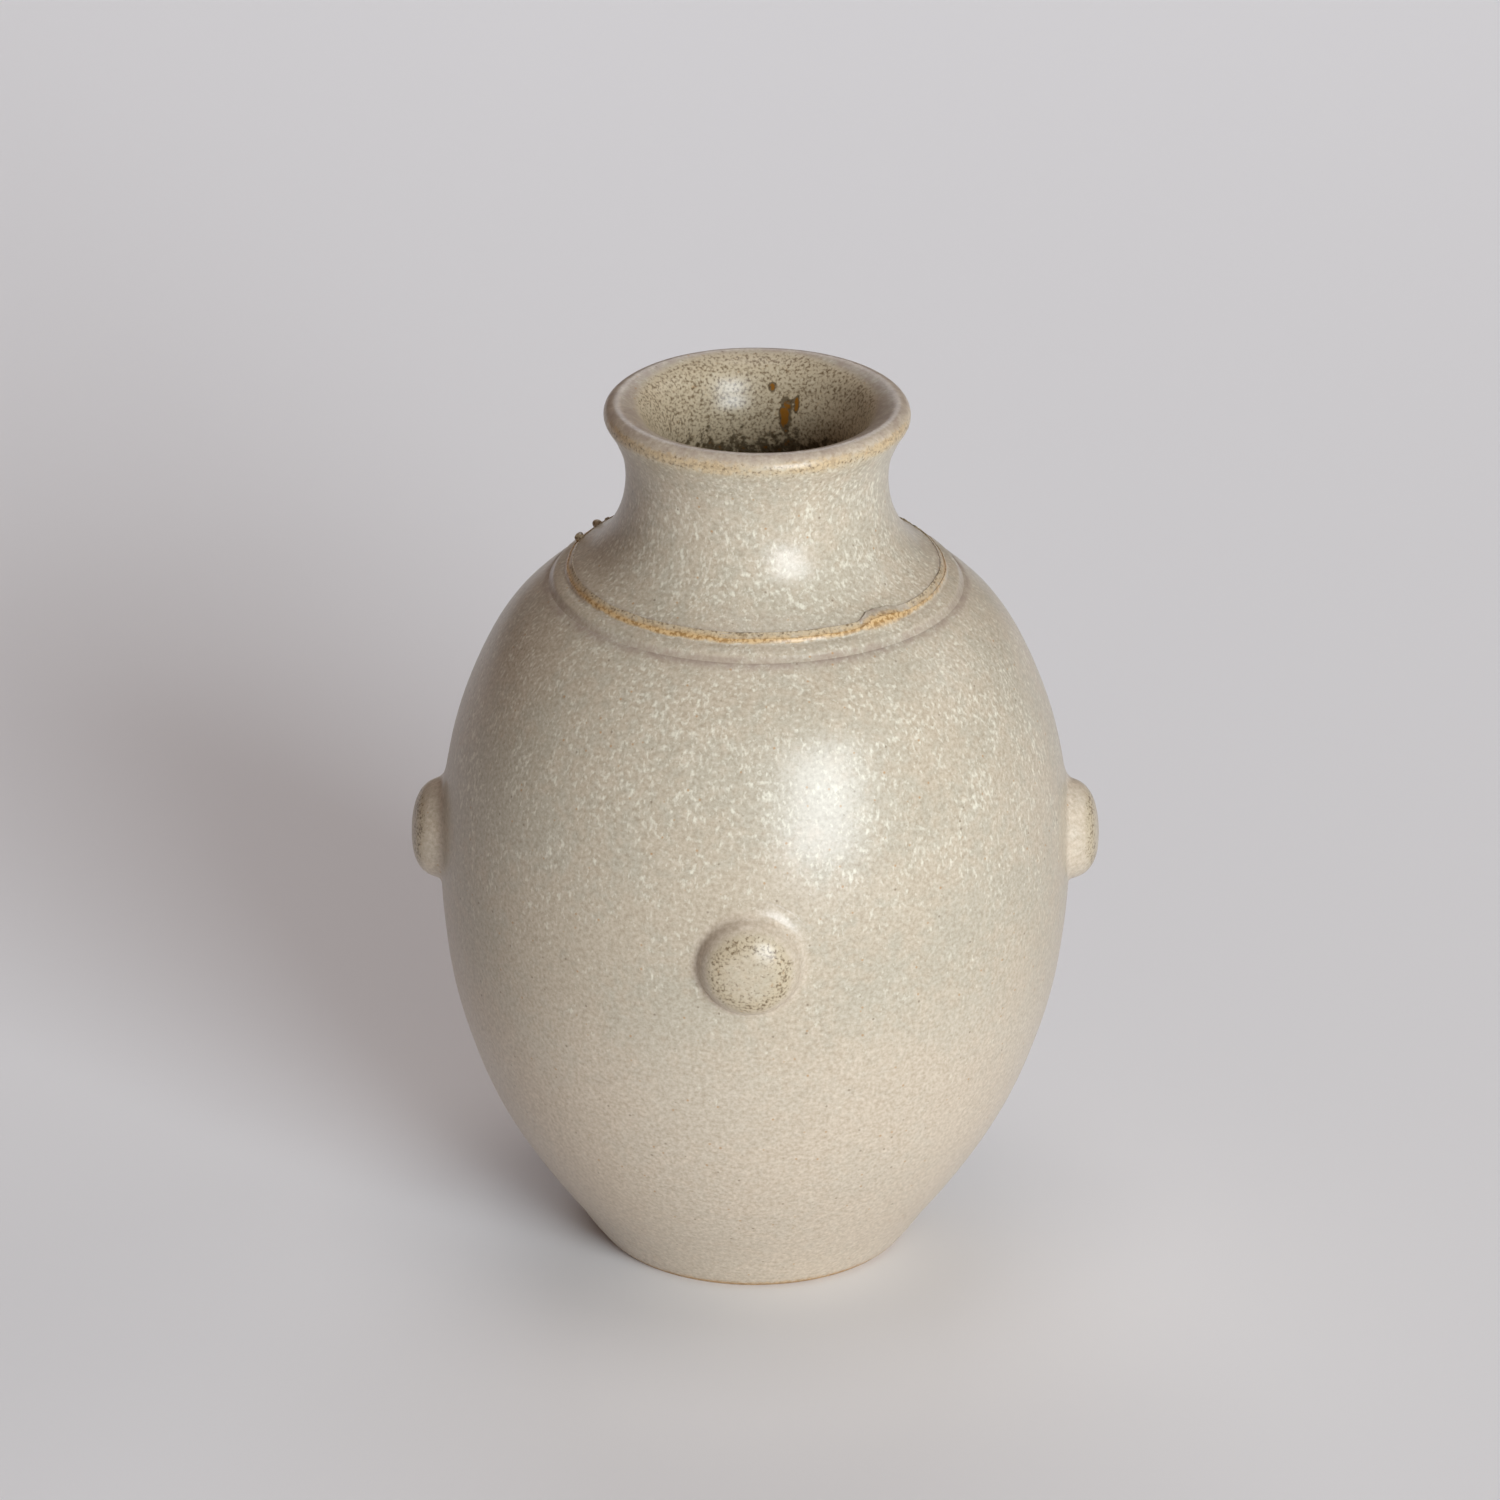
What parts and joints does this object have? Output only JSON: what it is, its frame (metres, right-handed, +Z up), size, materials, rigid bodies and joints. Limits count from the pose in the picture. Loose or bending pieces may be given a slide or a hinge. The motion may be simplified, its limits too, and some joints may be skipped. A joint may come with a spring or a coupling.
{
  "type": "stoneware vase",
  "caption": "Small wheel-thrown stoneware vase: egg-shaped belly, applied ring at the shoulder, flared neck with a rolled lip, round bosses round the belly.",
  "frame": {"origin": "the middle of the foot, on the surface that the vase stands on", "axes": "+Z up along the axis that the vase was thrown on; -Y towards the front boss; +X towards the right boss"},
  "size_m": [0.1148, 0.1148, 0.15],
  "materials": {
    "belly_glaze": "satin speckled",
    "neck_glaze": "satin speckled",
    "ring_glaze": "satin, breaking to orange-brown on the crest",
    "boss_glaze": "satin, iron-speckled"
  },
  "bodies": {
    "root": {"body": "belly_glaze", "neck": "neck_glaze", "shoulder_ring": "ring_glaze", "boss_front": "boss_glaze", "boss_right": "boss_glaze", "boss_back": "boss_glaze", "boss_left": "boss_glaze"}
  },
  "joints": []
}
